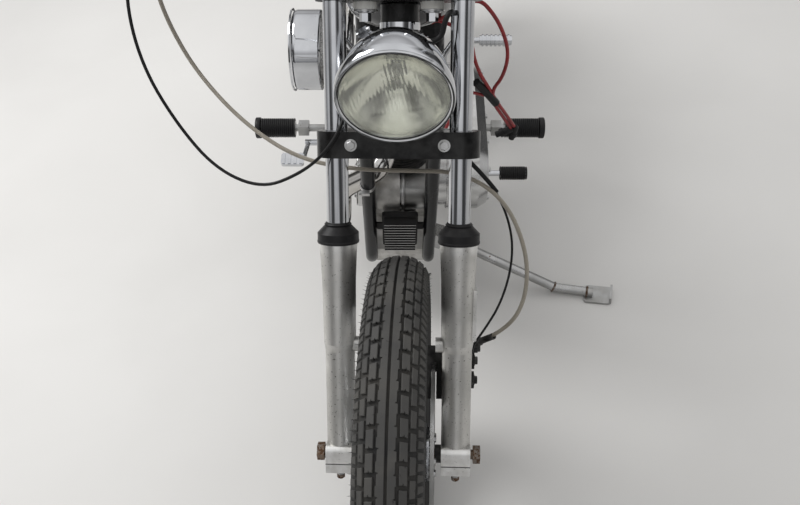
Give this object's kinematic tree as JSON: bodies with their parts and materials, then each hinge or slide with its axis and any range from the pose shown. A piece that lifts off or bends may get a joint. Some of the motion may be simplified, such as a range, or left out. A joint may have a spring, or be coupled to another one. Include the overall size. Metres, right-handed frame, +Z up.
{
  "type": "chopper motorcycle",
  "caption": "Rigid-framed chopper motorcycle with a V-twin engine, wire wheels, tall bars and a sissy bar, leaning on its side stand.",
  "frame": {"origin": "middle of the parked machine's footprint, on the floor", "axes": "+Z up, +Y to the rear of the machine, +X to the rider's left; the machine leans 8 degrees towards +X on its side stand, with its front end turned 3 degrees to the rider's right"},
  "size_m": [0.8915, 2.2311, 1.2644],
  "materials": {
    "black_paint": "gloss black enamel",
    "tank_paint": "gloss black enamel",
    "chrome": "polished chrome",
    "cast_aluminium": "raw sand-cast aluminium, dull",
    "polished_aluminium": "polished aluminium",
    "engine_aluminium": "satin cast aluminium",
    "black_iron": "black painted cast iron",
    "brushed_steel": "plain steel",
    "tyre_rubber": "dark grey tyre rubber",
    "rubber": "black rubber",
    "leather": "black leather",
    "clear_glass": "clear fluted glass",
    "red_lens": "red lens",
    "braid": "braided steel hose",
    "black_sheath": "black cable sheath"
  },
  "bodies": {
    "chassis": {"frame_spine": "black_paint", "frame_left_loop": "black_paint", "frame_right_loop": "black_paint", "frame_seat_post": "black_paint", "frame_rear_stays": "black_paint", "rear_axle": "brushed_steel", "engine_cases": "engine_aluminium", "cylinder_barrels": "black_iron", "cylinder_heads": "engine_aluminium", "rocker_boxes": "polished_aluminium", "cam_cover": "polished_aluminium", "pushrod_tubes": "chrome", "primary_cover": "polished_aluminium", "generator": "brushed_steel", "regulator": "black_iron", "carburettor": "engine_aluminium", "air_cleaner": "chrome", "front_exhaust": "chrome", "rear_exhaust": "chrome", "fuel_tank": "tank_paint", "seat": "leather", "oil_tank": "black_paint", "rear_fender": "tank_paint", "sissy_bar": "chrome", "tail_lamp_housing": "chrome", "tail_lamp_lens": "red_lens", "plate_bracket": "black_paint", "rider_pegs": "rubber", "passenger_pegs": "chrome", "gear_lever": "chrome", "brake_pedal": "chrome", "drive_chain": "brushed_steel", "output_sprocket": "brushed_steel", "stand_bracket": "brushed_steel", "carburettor_cable": "black_sheath"},
    "steering": {"front_axle": "brushed_steel", "fork_slider_left": "cast_aluminium", "fork_slider_right": "cast_aluminium", "fork_stanchions": "chrome", "fork_dust_caps": "rubber", "lower_yoke_and_stem": "black_paint", "upper_yoke": "black_paint", "bar_risers": "chrome", "handlebar": "chrome", "handlebar_grips": "rubber", "hand_levers": "polished_aluminium", "headlamp_shell": "chrome", "headlamp_lens": "clear_glass", "brake_caliper": "black_iron", "brake_hose": "braid", "throttle_cable": "black_sheath"},
    "front_wheel": {"front_wire_wheel": "chrome", "front_tyre": "tyre_rubber", "front_brake_disc": "brushed_steel"},
    "rear_wheel": {"rear_wire_wheel": "chrome", "rear_tyre": "tyre_rubber", "rear_sprocket_drum": "brushed_steel"},
    "side_stand": {"side_stand": "brushed_steel"}
  },
  "joints": [
    {"name": "steering_head", "type": "hinge", "parent": "chassis", "child": "steering", "pos_m": [-0.01584, -0.41796, 0.8002], "axis": [0.1167, 0.5446, 0.8305], "range_deg": [-32, 38]},
    {"name": "front_wheel_spin", "type": "hinge", "parent": "steering", "child": "front_wheel", "pos_m": [-0.0846, -0.78437, 0.32897], "axis": [0.9929, -0.0439, -0.1108], "continuous": true},
    {"name": "rear_wheel_spin", "type": "hinge", "parent": "chassis", "child": "rear_wheel", "pos_m": [-0.08349, 0.755, 0.31887], "axis": [0.9903, 0, -0.1392], "continuous": true},
    {"name": "side_stand_swing", "type": "hinge", "parent": "chassis", "child": "side_stand", "pos_m": [0.01141, -0.1, 0.13184], "axis": [0.4863, 0, 0.8738], "range_deg": [0, 95]}
  ]
}
